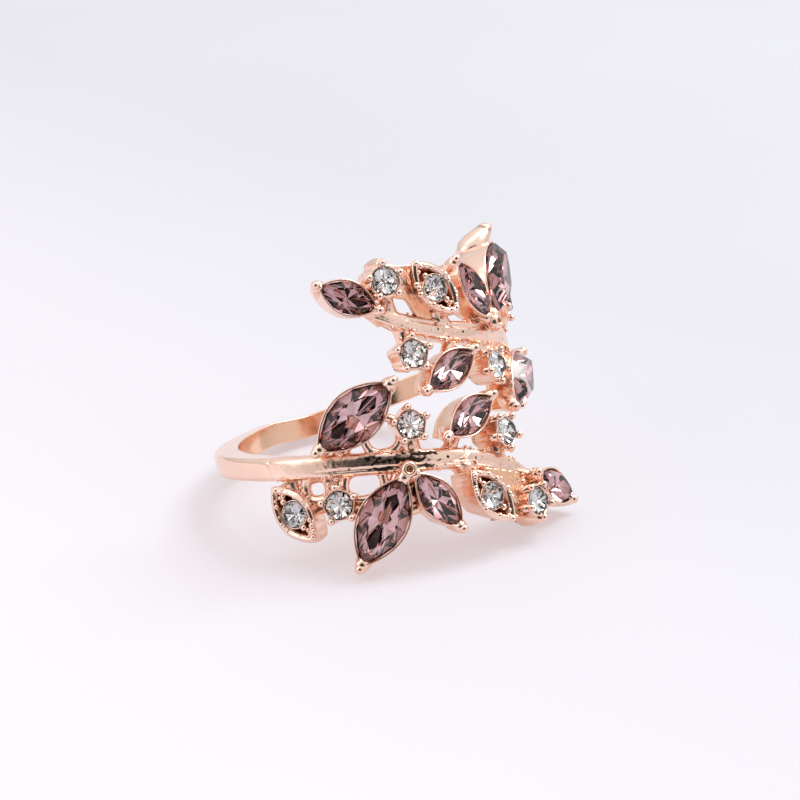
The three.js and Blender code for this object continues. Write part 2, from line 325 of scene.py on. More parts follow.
def linked(tree, kind, inputs=None, **settings):
    """A new node. Each input is either another node's output or a plain value."""
    node = tree.nodes.new(kind)
    for key, value in settings.items():
        setattr(node, key, value)
    for key, value in (inputs or {}).items():
        if hasattr(value, "is_output"):
            tree.links.new(value, node.inputs[key])
        else:
            node.inputs[key].default_value = value
    return node


def blended(tree, factor, first, second, way="MIX"):
    """The colour output of a Mix node. Its colour sockets share their names with others, so they go by index."""
    node = linked(tree, "ShaderNodeMix", data_type="RGBA", blend_type=way)
    for index, value in ((0, factor), (6, first), (7, second)):
        if hasattr(value, "is_output"):
            tree.links.new(value, node.inputs[index])
        else:
            node.inputs[index].default_value = value
    return node.outputs[2]


def ramp(tree, factor, stops):
    """A Color Ramp node with (place, colour) stops."""
    node = linked(tree, "ShaderNodeValToRGB", {"Fac": factor})
    while len(node.color_ramp.elements) < len(stops):
        node.color_ramp.elements.new(0.5)
    for element, (place, colour) in zip(node.color_ramp.elements, stops):
        element.position = place
        element.color = colour if len(colour) == 4 else (*colour, 1)
    return node


def cloud(tree, place, scale, detail, roughness=0.5):
    """The value of soft noise at a place on the piece."""
    settings = {"Vector": place, "Scale": scale, "Detail": detail, "Roughness": roughness}
    return linked(tree, "ShaderNodeTexNoise", settings).outputs["Fac"]


def grey(value):
    """A neutral colour."""
    return (value, value, value, 1)


# Painted light that deep calls for: an orange reflection of gold on gold, then a dark shade in hollows. The stems'
# pits are really black.
PAINTED_REFLECTION_GOLD = (0.94, 0.54, 0.34, 1)
PAINTED_SHADE_GOLD = (0.30, 0.13, 0.07, 1)
PIT_BLACK = (0.045, 0.028, 0.02, 1)


def rose_gold(name, cast, pitted=False):
    """Rose gold plate: soft flow of tone, tiny casting waves, hair scratches, on the stems dark pits, and where deep
    asks an orange painted reflection and a dark painted shade.

    cast is how rough the casting is, from 0 for the polished band to 1 for the stems.
    """
    material, tree, shader = new_material(name)
    place = linked(tree, "ShaderNodeTexCoord").outputs["Object"]
    tone = cloud(tree, place, 420.0, 3.0, 0.55)
    colours = [(0.3, (0.93, 0.63, 0.50)), (0.55, (0.955, 0.68, 0.56)), (0.75, (0.97, 0.74, 0.63))]
    colour = ramp(tree, tone, colours).outputs["Color"]
    wear = cloud(tree, place, 1500.0, 5.0, 0.7)
    rough = ramp(tree, wear, [(0.3, grey(0.10 + cast * 0.06)), (0.7, grey(0.20 + cast * 0.12))]).outputs["Color"]
    # deep paints an orange reflection as it rises to 0.5, then a dark shade from 0.55 to 0.95.
    deep = linked(tree, "ShaderNodeAttribute", attribute_name="deep").outputs["Fac"]
    reflection_share = ramp(tree, deep, [(0.0, grey(0.0)), (0.5, grey(1.0))]).outputs["Color"]
    shade_share = ramp(tree, deep, [(0.55, grey(0.0)), (0.95, grey(1.0))]).outputs["Color"]
    colour = blended(tree, reflection_share, colour, PAINTED_REFLECTION_GOLD)
    colour = blended(tree, shade_share, colour, PAINTED_SHADE_GOLD)
    if pitted:
        pit = linked(tree, "ShaderNodeAttribute", attribute_name="pit")
        dark = ramp(tree, pit.outputs["Fac"], [(0.35, grey(0.0)), (0.62, grey(1.0))]).outputs["Color"]
        colour = blended(tree, dark, colour, PIT_BLACK)
        rough = blended(tree, dark, rough, grey(0.42))
    waves = cloud(tree, place, 1100.0, 2.0)
    stretched = linked(tree, "ShaderNodeMapping", {"Vector": place, "Scale": (1.0, 1.0, 26.0)}).outputs["Vector"]
    hairs = cloud(tree, stretched, 1400.0, 3.0, 0.6)
    soft = linked(
        tree, "ShaderNodeBump", {"Strength": 0.16 + 0.3 * cast, "Distance": 0.00008, "Height": waves}
    ).outputs["Normal"]
    fine = linked(
        tree, "ShaderNodeBump", {"Strength": 0.05, "Distance": 0.00002, "Height": hairs, "Normal": soft}
    ).outputs["Normal"]
    shader.inputs["Metallic"].default_value = 1.0
    tree.links.new(colour, shader.inputs["Base Color"])
    tree.links.new(rough, shader.inputs["Roughness"])
    tree.links.new(fine, shader.inputs["Normal"])
    return material


def crystal(name, low, middle, high, edge):
    """The cut glass above a stone's girdle, darkened towards its rim by painted shade, with the finest of polishing
    marks.
    """
    material, tree, shader = new_material(name)
    place = linked(tree, "ShaderNodeTexCoord").outputs["Object"]
    tint = cloud(tree, place, 500.0, 2.0)
    colour = ramp(tree, tint, [(0.32, low), (0.5, middle), (0.66, high)]).outputs["Color"]
    rim = linked(tree, "ShaderNodeAttribute", attribute_name="rim").outputs["Fac"]
    colour = blended(tree, rim, colour, edge)
    marks = cloud(tree, place, 3000.0, 3.0)
    rough = ramp(tree, marks, [(0.4, grey(0.0)), (0.75, grey(0.035))])
    tree.links.new(colour, shader.inputs["Base Color"])
    tree.links.new(rough.outputs["Color"], shader.inputs["Roughness"])
    shader.inputs["Transmission Weight"].default_value = 1.0
    shader.inputs["IOR"].default_value = 1.56
    return material


def foil(name, low, high, edge):
    """The mirror foil on the cut faces under the girdle, which sends the light back out, with painted shade at the
    rim.
    """
    material, tree, shader = new_material(name)
    place = linked(tree, "ShaderNodeTexCoord").outputs["Object"]
    mottle = cloud(tree, place, 1300.0, 4.0, 0.6)
    colour = ramp(tree, mottle, [(0.35, low), (0.65, high)]).outputs["Color"]
    rim = linked(tree, "ShaderNodeAttribute", attribute_name="rim").outputs["Fac"]
    colour = blended(tree, rim, colour, edge)
    rough = ramp(tree, mottle, [(0.3, grey(0.02)), (0.7, grey(0.07))])
    shader.inputs["Metallic"].default_value = 1.0
    tree.links.new(colour, shader.inputs["Base Color"])
    tree.links.new(rough.outputs["Color"], shader.inputs["Roughness"])
    return material


BAND_GOLD = rose_gold("rose_gold_polished", cast=0.04)
CAST_GOLD = rose_gold("rose_gold_cast", cast=0.6)
STEM_GOLD = rose_gold("rose_gold_bark", cast=1.0, pitted=True)
# The last colour of each is the painted shade at the stone's rim.
MAUVE = [
    crystal("mauve_crystal", (0.58, 0.345, 0.345), (0.79, 0.55, 0.56), (0.96, 0.83, 0.87), (0.40, 0.15, 0.13, 1)),
    foil("mauve_foil", (0.93, 0.87, 0.90), (0.99, 0.96, 0.98), (0.62, 0.42, 0.40, 1)),
]
CLEAR = [
    crystal("clear_crystal", (0.79, 0.79, 0.79), (0.85, 0.85, 0.85), (0.93, 0.93, 0.93), (0.72, 0.70, 0.69, 1)),
    foil("clear_foil", (0.88, 0.88, 0.88), (0.96, 0.96, 0.96), (0.62, 0.61, 0.60, 1)),
]


# ---------------------------------------------------------------- the plain band
def band_section():
    """Corners of the band's section as (radius, side), with soft outer edges and crisp inner ones."""
    half, inner, outer = BAND_HEIGHT / 2, BORE_RADIUS, BAND_OUTER
    soft, crisp = 0.34, 0.07
    crown, beside = 0.02, 0.05
    points = []

    def arc(cx, cy, r, start, end, count):
        """Points along a rounded corner, from one angle to another."""
        for k in range(count + 1):
            a = math.radians(mix(start, end, k / count))
            points.append((cx + r * math.cos(a), cy + r * math.sin(a)))

    arc(inner + crisp, -half + crisp, crisp, 180, 270, 4)
    points.append((inner + crisp + beside, -half))
    points.append((outer - soft - beside, -half))
    arc(outer - soft, -half + soft, soft, 270, 350, 7)
    for share in (-0.5, 0.0, 0.5):
        points.append((outer - crown + crown * (1 - share * share), share * (half - soft) * 1.3))
    arc(outer - soft, half - soft, soft, 10, 90, 7)
    points.append((outer - soft - beside, half))
    points.append((inner + crisp + beside, half))
    arc(inner + crisp, half - crisp, crisp, 90, 180, 4)
    points.append((inner, half - crisp - beside))
    points.append((inner, -half + crisp + beside))
    return points


def band_reach(angle, section):
    """How far the band's section reaches from its middle in one direction."""
    way = np.array([math.sin(angle), math.cos(angle)])
    across = np.array([way[1], -way[0]])
    points = np.array(section) - (SECTION_MIDDLE, 0.0)
    best = 0.0
    for p, q in zip(points, np.roll(points, -1, axis=0)):
        a, b = p @ across, q @ across
        if a * b <= 0 and a != b:
            best = max(best, (p + (q - p) * a / (a - b)) @ way)
    return best


def band():
    """The plain band. Its inner face, which mostly reflects itself, carries an orange painted reflection away from the
    joints.

    Both ends run on into the stems and shrink a little there, so that they stay hidden inside.
    """
    section = band_section()
    start, end = 2 * BACK_TURN - BAND_END_TURN, BAND_END_TURN
    overlap, before, shrink = 2.5, 1.5, 0.10
    fade, painted_warmth = 14, 0.3
    turns = np.linspace(start - overlap, end + overlap, 145)
    rings = []
    for turn in turns:
        sunk = max(step(end - before, end + overlap, turn), 1 - step(start - overlap, start + before, turn))
        dive = shrink * sunk
        ring = []
        for radius, side in section:
            ring.append(on_ring(turn, band_height(turn) + side * (1 - dive), mix(radius, SECTION_MIDDLE, dive)))
        rings.append(ring)
    shape = loft(rings)
    # Painted reflection: the inner face takes an orange tint that fades out towards both joints.
    inside = np.array([radius < BORE_RADIUS + 0.05 for radius, _ in section])
    away = step(start, start + fade, turns) * (1 - step(end - fade, end, turns))
    shape.deep = np.outer(away, painted_warmth * inside).ravel()
    return shape


hoop = band()
piece("shank_band", hoop, LEANED, BAND_GOLD, ["shank"], attributes={"deep": hoop.deep})


# ---------------------------------------------------------------- cups, claws and stones
def outline(cut, grow=0.0, count=96):
    """A leaf of two arcs drawn in towards its points, or a circle, as (x, y) rows."""
    pointed = cut["kind"] == "leaf"
    a = cut["length"] / 2 + grow * (1.4 if pointed else 1.0)
    b = cut["width"] / 2 + grow
    phase = 2 * math.pi * np.arange(count) / count
    x = a * np.cos(phase)
    if not pointed:
        return np.column_stack([x, a * np.sin(phase)])
    arc = (a * a + b * b) / (2 * b)
    y = (np.sqrt(np.maximum(0.0, arc * arc - x * x)) - (arc - b)) * (1 - LEAF_SHARPNESS * (x / a) ** 2)
    return np.column_stack([x, np.sign(np.round(np.sin(phase), 6)) * y])


def ring_at(points, z, length_share=1.0, width_share=None):
    """An outline lifted to z and scaled along its length and its width."""
    width_share = length_share if width_share is None else width_share
    z = np.broadcast_to(z, len(points))
    return np.column_stack([points[:, 0] * length_share, points[:, 1] * width_share, z])


def cup(cut, depth, seed, wall=0.16, rim=0.12, flutes=0.02, foot=(0.93, 0.8), drop=0.0, lip=0.035, star=0.0):
    """A cup's wall, open at the back: a rounded lip, and a side that swells, draws in and carries upright flutes.

    wall and lip are how far the rim's outer and inner edges stand outside the stone, rim is its height, foot how far
    the side draws in along the cup's length and width, drop lowers the rim, and star swells it under five claws.
    """
    foot_in = (0.85, 0.7)
    count = 128 if cut["kind"] == "leaf" else 72
    outer, inner = outline(cut, wall, count), outline(cut, lip, count)
    phase = 2 * math.pi * np.arange(count) / count
    outer = outer * (1 + star * np.cos(5 * phase))[:, None]
    groove = np.zeros(count)
    rng = np.random.default_rng(seed)
    for waves in (9, 13, 19, 27, 38):
        groove += np.sin(waves * phase + rng.uniform(0, 6.3)) * rng.uniform(0.4, 1.0)
    groove *= flutes / 2.2
    reach = np.linalg.norm(outer, axis=1)
    rings = []

    def outside(share, swell, carve):
        """One ring of the outer side, from the foot at share 0 to the rim at share 1."""
        sx, sy = mix(foot[0], 1.0, swell), mix(foot[1], 1.0, swell)
        out = 1 + carve * groove / reach
        z = mix(-depth, rim - drop - 0.06, share)
        return np.column_stack([outer[:, 0] * sx * out, outer[:, 1] * sy * out, np.full(count, z)])

    for share, swell, carve in (
        (0.0, 0.0, 0.6), (0.04, 0.12, 1.0), (0.18, 0.42, 1.2), (0.36, 0.68, 1.2), (0.55, 0.86, 1.1),
        (0.74, 0.95, 0.9), (0.88, 0.985, 0.5), (0.96, 1.0, 0.1), (1.0, 1.0, 0.0),
    ):
        rings.append(outside(share, swell, carve))
    top = rim - drop
    rise = max(0.0, wall - lip - 0.13) * 0.3
    for share, part in ((0.15, 0.0), (0.35, 0.75), (0.5, 1.0), (0.65, 0.75), (0.85, 0.0)):
        rings.append(ring_at(mix(outer, inner, share), top - 0.015 + (0.015 + rise) * part))
    rings.append(ring_at(inner, top - 0.06))
    rings.append(ring_at(inner, -GIRDLE - 0.10 - drop))
    for share in (0.35, 0.7, 1.0):
        sx, sy = mix(1.0, foot_in[0], share), mix(1.0, foot_in[1], share)
        rings.append(ring_at(inner, mix(-GIRDLE - 0.12 - drop, -depth, share), sx, sy))
    return loft(rings, loop=True)


def leaf_claw(cut, depth, side, style="plain"):
    """The horn up one of a leaf's points, which ends in a ball and holds the stone with a small tongue.

    Where two leaves meet at the fork the ball is left off. The hooded one stands clear of the stone.
    """
    reach = cut["length"] / 2 + 0.34
    size = 0.33 if cut["length"] > 5 else 0.30
    if style == "hooded":
        head, foot = (side * (reach + 1.06), 0, -0.64), (side * reach * 0.66, 0, -depth * 0.95)
        radii = [(0, 0.0), (0.0, 0.5), (0.12, 0.72), (0.35, 0.82), (0.6, 0.74), (0.85, 0.55), (1.0, 0.42)]
        size = 0.42
    else:
        head, foot = (side * reach, 0, 0.06), (side * reach * 0.6, 0, -depth * 0.7)
        profile = [(0, 0.0), (0.0, 1.5), (0.3, 1.85), (0.6, 1.72), (0.85, 1.38), (1.0, 0.98)]
        radii = [(share, size * wide) for share, wide in profile]
    made = post(foot, head, radii, 28)
    if style != "fork":
        made.add(ball(head, size, 24))
    if style != "hooded":
        made.add(ball((side * (reach - size * 0.95), 0, 0.08), size * 0.55, 16, 0.8))
    return made


def round_claws(depth, first=0.0, keel=None):
    """Five claws round a round stone, the first at an angle. One of them may grow into a smooth leaf-like keel."""
    made = Shape()
    reach, size = 1.13, 0.245
    for k in range(5):
        a = 2 * math.pi * k / 5 + math.radians(first)
        x, y = reach * math.cos(a), reach * math.sin(a)
        foot = (x * 0.62, y * 0.62, -depth * 0.9)
        made.add(post(foot, (x, y, 0.05), [(0, 0.0), (0.0, 0.36), (0.2, 0.36), (0.6, 0.28), (0.95, 0.22)], 18))
        made.add(ball((x, y, 0.1), size, 20))
        if k == keel:
            radii = [(0, 0.0), (0.0, 0.45), (0.25, 0.62), (0.55, 0.56), (0.85, 0.36), (1.0, 0.24)]
            made.add(post((x * 0.7, y * 0.7, -depth * 0.82), (x * 1.04, y * 1.04, 0.08), radii, 28))
    return made


def bud(depth, seed, sweep):
    """A leaf-shaped cup with a grainy rim and painted shade on its floor round a round stone. sweep draws its back to
    the stem.
    """
    made = cup(BUD_CUP, depth, seed, wall=0.26, rim=0.1, flutes=0.04, lip=-0.16)
    x, y, z = made.points.T
    deepness = np.clip(-z / depth, 0, 1) ** 1.3
    made.points[:, 0] = np.where(x < 0, x * (1 - sweep * deepness), x)
    made.points[:, 1] = y * (1 - 0.15 * deepness)
    count = 96
    leaf, seat = outline(BUD_CUP, -0.14, count), outline(ROUND, 0.01, count)
    # The floor and the stone's seat: outline, height, scale and how much painted shade lies there.
    inside = [
        (leaf, -0.50, 0.99, 1.0), (leaf, -0.42, 0.99, 1.0), (seat, -0.36, 1.12, 1.0), (seat, -0.10, 1.1, 0.5),
        (seat, -0.04, 1.05, 0.0), (seat, -0.08, 1.0, 0.0), (seat, -0.58, 0.96, 0.5),
    ]
    basin = loft([ring_at(edge, height, share) for edge, height, share, _ in inside], loop=True)
    basin.deep = np.repeat([tone for *_, tone in inside], count)
    made.add(basin)
    rng = np.random.default_rng(seed)
    rim = outline(BUD_CUP, 0.06, 64)
    for x, y in rim[rng.permutation(64)[:34]]:
        spot = (x + rng.normal(0, 0.07), y + rng.normal(0, 0.07), rng.uniform(-0.02, 0.07))
        made.add(ball(spot, rng.uniform(0.13, 0.22), 12))
    for side in (1, -1):
        made.add(ball((side * 1.06, 0, -0.02), 0.22, 18))
        for _ in range(4):
            spot = (side * rng.uniform(1.3, 1.9), rng.uniform(-0.25, 0.25), rng.uniform(-0.2, 0.05))
            made.add(ball(spot, rng.uniform(0.12, 0.19), 12))
    return made


def stone(cut):
    """A cut stone: a broad table, eight bezels, and a folded fan of sixteen foiled wedges that meet at the culet.

    Returns the shape, for each face 0 for the glass above the girdle or 1 for the foil below it, and the painted shade
    at each point, most at the rim.
    """
    corners = outline(cut, 0.0, 16)
    share = (0.66, 0.62) if cut["kind"] == "leaf" else (0.62, 0.62)
    crown, depth = cut["crown"] * 0.9, FOIL_DEPTH * cut["width"]
    table = ring_at(corners[0::2], crown, *share)
    top, low = ring_at(corners, 0.0), ring_at(corners, -GIRDLE)
    ridge = ring_at(corners, -GIRDLE - depth * 0.22, 0.92)
    ridge[1::2, 2] -= FOIL_FOLD[cut["kind"]] * cut["width"]
    points = np.vstack([table, top, low, ridge, [[0.0, 0.0, -GIRDLE - depth]]])
    # Painted shade on the stone: full at the girdle, a little under half at the ridge, none on the table and at the
    # culet.
    rim = np.concatenate([np.zeros(8), np.ones(32), np.full(16, 0.45), [0.0]])
    # The first point of the table, of the girdle's top and low edges and of the ridge, and the culet.
    t, g, h, r, c = 0, 8, 24, 40, 56
    faces, kinds = [tuple(range(t, t + 8))], [0]

    def face(kind, *corner):
        """Adds one face and notes its kind."""
        faces.append(corner)
        kinds.append(kind)

    for j in range(8):
        i = (j + 1) % 8
        a, m, b = 2 * j, 2 * j + 1, 2 * i
        face(0, t + j, g + m, t + i)
        face(0, t + j, g + a, g + m)
        face(0, t + i, g + m, g + b)
        face(0, g + a, h + a, h + m, g + m)
        face(0, g + m, h + m, h + b, g + b)
        for k, n in ((a, m), (m, b)):
            face(1, r + k, h + n, h + k)
            face(1, r + k, r + n, h + n)
            face(1, c, r + n, r + k)
    return Shape(points, faces), kinds, {"rim": rim}


def setting_matrix(turn, facing, height, radius, angle):
    """What carries a setting from its own frame, length along X and stone up Z, to its place on the ring."""
    around, out = directions(facing)
    a = math.radians(angle)
    x = around * math.cos(a) + UP * math.sin(a)
    y = np.cross(out, x)
    made = Matrix.Identity(4)
    for row in range(3):
        made[row][0], made[row][1], made[row][2] = x[row], y[row], out[row]
    made.translation = on_ring(turn, height, radius)
    return made


for index, (name, cut, turn, facing, height, radius, angle) in enumerate(SETTINGS):
    depth = cup_depth(radius)
    home = setting_matrix(turn, facing, height, radius, angle)
    cut_stone, kinds, rim_shade = stone(cut)
    if cut["kind"] == "leaf":
        metal = cup(cut, depth, index)
        metal.add(leaf_claw(cut, depth, 1, "fork" if "outer" in name else "plain"))
    elif cut["kind"] == "bud":
        metal = bud(depth, index, sweep=0.55 if name == "mid_bud" else 0.1)
    else:
        metal = cup(cut, depth, index, wall=0.20, rim=-0.04, flutes=0.012, foot=(0.85, 0.85), star=0.07)
        metal.add(round_claws(depth, first=34, keel=3) if name == "tip_round" else round_claws(depth))
    for side, matrix in SIDES.items():
        label = f"{side}_{name}"
        hooded = label == "upper_large_outer_leaf"
        body = Shape(metal.points, metal.faces, metal.deep)
        if hooded:
            body = cup(cut, depth, index, drop=0.26).add(leaf_claw(cut, depth, 1, "fork"))
        if cut["kind"] == "leaf":
            body.add(leaf_claw(cut, depth, -1, "hooded" if hooded else "plain"))
        if hooded:  # the cup's back sinks towards its hood
            x, z = body.points[:, 0], body.points[:, 2]
            body.points[:, 2] -= 0.5 * np.clip(-x / 3, 0, 1) * np.clip((-z - 0.2) / 1.6, 0, 1)
        # Painted reflection and shade: each cup turns orange towards its foot, the inner leaves most and the hooded
        # one not at all.
        painted_warmth = 0.0 if hooded else 0.5 if "inner" in name else 0.28
        body.deep = np.maximum(body.deep, painted_warmth - painted_warmth * step(-depth * 0.95, -0.3, body.points[:, 2]))
        tone = {"deep": body.deep}
        piece(label + "_cup", body, matrix @ home, CAST_GOLD, [label + "_setting"], attributes=tone)
        glass = MAUVE if cut["kind"] == "leaf" else CLEAR
        piece(
            label + "_crystal", cut_stone, matrix @ home, glass, [label + "_stone"],
            smooth=False, attributes=rim_shade, slots=kinds,
        )


# ---------------------------------------------------------------- the vine stems
RING_ANGLES = [2 * math.pi * k / 56 for k in range(56)]
ROOT_REACH = [band_reach(a, band_section()) for a in RING_ANGLES]


def stem_ring(turn):
    """The stem's section: the band's own at the root, then a flatter, rounder one."""
    along = step(-75, -56, turn)
    share = (turn - BAND_END_TURN) / (STEM_END_TURN - BAND_END_TURN)
    half = mix(0.80, 0.66, share) * (1 - 0.45 * step(16, 29, turn))
    inner = BORE_RADIUS + 0.06 + stem_flare(turn)
    outer = BAND_OUTER + stem_flare(turn)
    middle, reach = (inner + outer) / 2, (outer - inner) / 2 * (1 - 0.3 * step(18, 29, turn))
    grown = 1 + mix(-0.05, 0.02, step(-78, -73, turn)) * (1 - along)
    ring = []
    for a, root in zip(RING_ANGLES, ROOT_REACH):
        cos, sin = math.cos(a), math.sin(a)
        side = mix(root * cos, half * math.copysign(abs(cos) ** 0.55, cos), along) * grown
        radius = mix(root * sin, reach * math.copysign(abs(sin) ** 0.5, sin), along) * grown
        ring.append(on_ring(turn, spiral_height(turn) + side, mix(SECTION_MIDDLE, middle, along) + radius))
    return ring


def opening(turn, height, radius, half_width, half_height, thick):
    """A rounded loop of metal round one opening, facing outwards."""
    around, out = directions(turn)
    centre = on_ring(turn, height, radius)
    rings = []
    for a in np.linspace(0, 2 * math.pi, 48, endpoint=False):
        way = around * math.cos(a) + UP * math.sin(a)
        across = half_width * math.copysign(abs(math.cos(a)) ** 0.8, math.cos(a))
        above = half_height * math.copysign(abs(math.sin(a)) ** 0.8, math.sin(a))
        spot = centre + around * across + UP * above
        ring = []
        for b in np.linspace(0, 2 * math.pi, 14, endpoint=False):
            ring.append(spot + way * thick * math.cos(b) - out * thick * math.sin(b))
        rings.append(ring)
    return loft(rings, loop=True)


def side_wall(gap, ribs, painted_warmth):
    """The wall of metal between the middle bud and the round stone at the tip, with a gap beside the stem."""
    first, last, rows = 4.5, 19.0, 41
    rings = []
    for turn in np.linspace(first, last, 60):
        share = (turn - first) / (last - first)
        high, low, face = mix(-4.95, -5.8, share), mix(-8.4, -8.75, share), mix(10.5, 11.0, share)
        high -= gap * step(0.35, 0.6, share)
        ring = []
        for k in range(rows):
            height = mix(high, low, k / (rows - 1))
            rib = ribs * noise.noise(Vector((turn * 1.1 + height * 2.4, turn * 0.06 - height * 0.3, 2.0)))
            lip = 0.16 * math.exp(-(((height - low) / 0.25) ** 2))
            ring.append(on_ring(turn, height, face + rib + lip))
        for k in range(rows - 1, -1, -1):
            ring.append(on_ring(turn, mix(high, low, k / (rows - 1)), face - 0.5))
        rings.append(ring)
    wall = loft(rings)
    # Painted reflection: the wall is tinted orange, its top rows by 0.4 and the rest by the amount given for each
    # vine.
    fall = np.linspace(0, 1, rows)
    tone = mix(0.4, painted_warmth, step(0.1, 0.5, np.concatenate([fall, fall[::-1]])))
    wall.deep = np.tile(tone, len(rings))
    return wall


def stem():
    """One stem, fused with its branches, its webs and the loops round its openings."""
    shape = loft([stem_ring(turn) for turn in np.linspace(BAND_END_TURN - 3.0, STEM_END_TURN + 3.0, 96)])
    for start, name, thick in TWIGS:
        turn, height, radius = HOMES[name]
        foot = on_ring(start, spiral_height(start), 9.6 + stem_flare(start))
        head = on_ring(turn, height, radius - 1.1)
        radii = [(0, 0.0), (0.0, thick * 1.3), (0.35, thick), (0.7, thick * 0.95), (1.0, thick * 1.15)]
        shape.add(post(foot, head, radii, 20))
    for first, second, thick in WEBS:
        ends = [on_ring(turn, height, radius - 1.15) for turn, height, radius in (HOMES[first], HOMES[second])]
        shape.add(post(*ends, [(0, 0.0), (0.0, thick * 1.3), (0.5, thick), (1.0, thick * 1.3)], 16))
    for hole in OPENINGS:
        shape.add(opening(*hole))
    return fused(shape, voxel=0.05, smooth=9)


def grains():
    """Tiny cast beads scattered along the stem's edges, over the joints with its branches and round one opening."""
    shape = Shape()
    rng = np.random.default_rng(3)
    for start, name, thick in TWIGS:
        turn, height, radius = HOMES[name]
        foot = on_ring(start, spiral_height(start), 10.15 + stem_flare(start))
        head = on_ring(turn, height, radius - 0.7)
        away = (foot - head) / np.linalg.norm(foot - head)
        for _ in range(7):
            spot = mix(foot, head, rng.uniform(0.18, 0.5)) + rng.normal(0, 0.5 * thick, 3) * (1 - np.abs(away))
            shape.add(ball(spot, rng.uniform(0.09, 0.17), 10))
    for turn in np.arange(-34, 20, 1.1):
        edge = 1 if rng.uniform() < 0.8 else -1
        height = spiral_height(turn) + edge * rng.uniform(0.5, 0.66)
        spot = on_ring(turn + rng.normal(0, 0.5), height, rng.uniform(9.95, 10.2) + stem_flare(turn))
        shape.add(ball(spot, rng.uniform(0.1, 0.18), 10))
    turn, height, radius, half_width, half_height, thick = OPENINGS[-1]
    around = directions(turn)[0]
    centre = on_ring(turn, height, radius + 0.95 * thick)
    for _ in range(30):
        a, away = rng.uniform(0, 2 * math.pi), rng.uniform(0.9, 1.4)
        spot = centre + away * (around * half_width * math.cos(a) + UP * (half_height * math.sin(a)))
        shape.add(ball(spot, rng.uniform(0.09, 0.18), 10))
    return shape


def stem_detail(shape, bark_from, bark_to):
    """Carves the groove and the bark into the fused stem, paints an orange reflection on its lower sides and returns
    how pitted each point is.
    """
    points = shape.points
    turns = np.degrees(np.arctan2(points[:, 0], -points[:, 1]))
    radii = np.hypot(points[:, 0], points[:, 1])
    heights = np.array([spiral_height(t) for t in turns])
    side = points[:, 2] - heights
    out = np.column_stack([points[:, 0] / radii, points[:, 1] / radii, np.zeros(len(points))])
    top = np.array([BAND_OUTER + stem_flare(t) for t in turns])
    near = np.clip(1 - np.abs(side) / 0.75, 0, 1) * np.clip((radii - top + 0.9) / 0.6, 0, 1)
    pit = np.zeros(len(points))
    sink = np.zeros(len(points))
    for i in np.nonzero(near > 0)[0]:
        t, s = turns[i], side[i]
        bark = step(-70, -50, t)
        grain = noise.noise(Vector((t * 0.16, s * 5.5, 3.0)))
        speck = noise.noise(Vector((t * 0.7, s * 5.5, 9.0)))
        groove = math.exp(-(((s + 0.30) / 0.11) ** 2)) * step(-62, -46, t) * (1 - step(5, 20, t))
        sink[i] = near[i] * bark * (0.13 * groove + 0.02 * grain + 0.012 * speck)
        zone = step(bark_from - 8, bark_from + 4, t) * (1 - step(bark_to - 4, bark_to + 8, t))
        streak = noise.noise(Vector((t * 0.11 + 40, s * 3.6, 1.0))) * 0.95 + speck * 0.5
        dark = zone * (0.60 + 0.3 * s + streak * 1.35 + 0.2 * groove)
        pit[i] = near[i] ** 0.5 * (dark + bark * max(0.0, speck * 1.6 - 0.28))
    shape.points = points - out * sink[:, None]
    # Painted reflection: the stem's sides below its top face turn orange, except near the root.
    shape.deep = (0.5 - 0.5 * step(-1.05, -0.35, radii - top)) * step(-74, -58, turns)
    return np.clip(pit, 0, 1)


def fork_bead():
    """The bead where the two leaves meet, with painted shade in the crater in its outer side."""
    turn, size, sides = FORK_BEAD["turn"], FORK_BEAD["size"], 28
    shape = lathe([(size * wide, size * high) for wide, high, _ in CRATER], sides)
    shape.deep = np.repeat([tone for *_, tone in CRATER], sides)
    turned = Vector(directions(turn)[1]).to_track_quat("Z", "Y").to_matrix().to_4x4()
    centre = on_ring(turn, FORK_BEAD["height"], FORK_BEAD["radius"])
    return shape.moved(Matrix.Translation(centre) @ turned)


for side, matrix in SIDES.items():
    body = stem()
    pits = stem_detail(body, *BARK[side])
    for part in (fork_bead(), grains(), side_wall(**WALLS[side])):
        body.add(part)
    pits = np.concatenate([pits, np.zeros(len(body.points) - len(pits))])
    # pit is the bark's real dark; deep is the painted reflection and shade of the stem, the bead's crater and the
    # wall.
    tone = {"pit": pits, "deep": body.deep}
    piece(f"{side}_vine", body, matrix, STEM_GOLD, [f"{side}_vine_stem"], attributes=tone)


# ---------------------------------------------------------------- floor, light and camera
# Half the floor's width, in metres.
FLOOR_EDGE = 2
# The way from the ring to the unlit side of the room, where the camera stands in the photographer's place.
DARK_SIDE = (-0.590, -0.698, 0.406)
# Soft lights: name, place, size, power and colour. All of them look at the ring.
LAMPS = [
    ("key", (0.26, -0.06, 0.34), (0.20, 0.20), 1.35, (1.0, 0.985, 0.97)),
    ("left", (-0.34, 0.12, 0.22), (0.16, 0.34), 0.22, (0.97, 0.98, 1.0)),
    ("top", (0.02, 0.10, 0.45), (0.5, 0.18), 0.3, (1.0, 1.0, 1.0)),
]
LAMP_TARGET = (0.0, 0.0, 0.009)
CAMERA_PLACE = (-0.10396, -0.12434, 0.07893)
CAMERA_TARGET = (0.001027, -0.000062, 0.0067)
CAMERA_LENS = 121.6
CAMERA_ROLL = math.radians(1.02)


